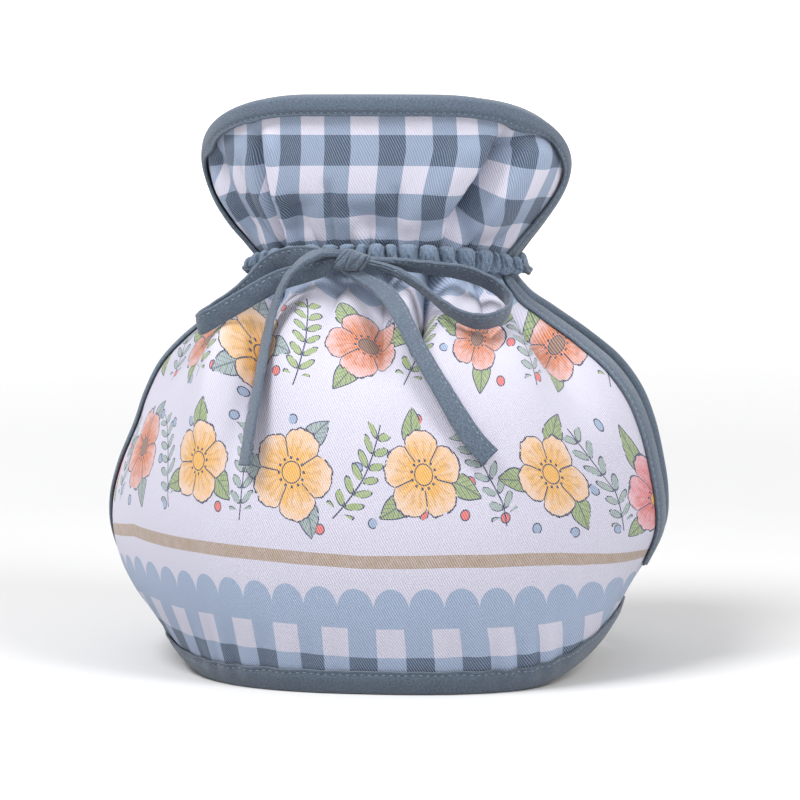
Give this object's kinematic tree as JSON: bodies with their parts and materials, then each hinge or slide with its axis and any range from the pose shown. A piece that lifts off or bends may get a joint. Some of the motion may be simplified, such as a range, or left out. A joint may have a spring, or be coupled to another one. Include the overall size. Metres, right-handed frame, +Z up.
{
  "type": "tea cosy",
  "caption": "Padded cloth tea cosy with open base, side slits for spout and handle, bound edges, ruched drawstring neck tied in a bow, and a flared frill.",
  "frame": {"origin": "on the floor under the middle of the cosy, where its hem stands", "axes": "+X towards the handle slit, -X towards the spout slit, -Y towards the front with the bow, +Z up"},
  "size_m": [0.1843, 0.1591, 0.1873],
  "materials": {
    "printed_cotton": "matt printed cotton twill",
    "slate_cotton": "matt woven tape"
  },
  "bodies": {
    "root": {"front_panel": "printed_cotton", "back_panel": "printed_cotton", "front_binding": "slate_cotton", "back_binding": "slate_cotton", "hem_binding": "slate_cotton", "casing_front": "slate_cotton", "casing_back": "slate_cotton", "drawstring_spout": "slate_cotton", "drawstring_handle": "slate_cotton", "bow_knot": "slate_cotton", "bow_loop_left": "slate_cotton", "bow_loop_right": "slate_cotton", "tie_tail_left": "slate_cotton", "tie_tail_right": "slate_cotton"}
  },
  "joints": []
}
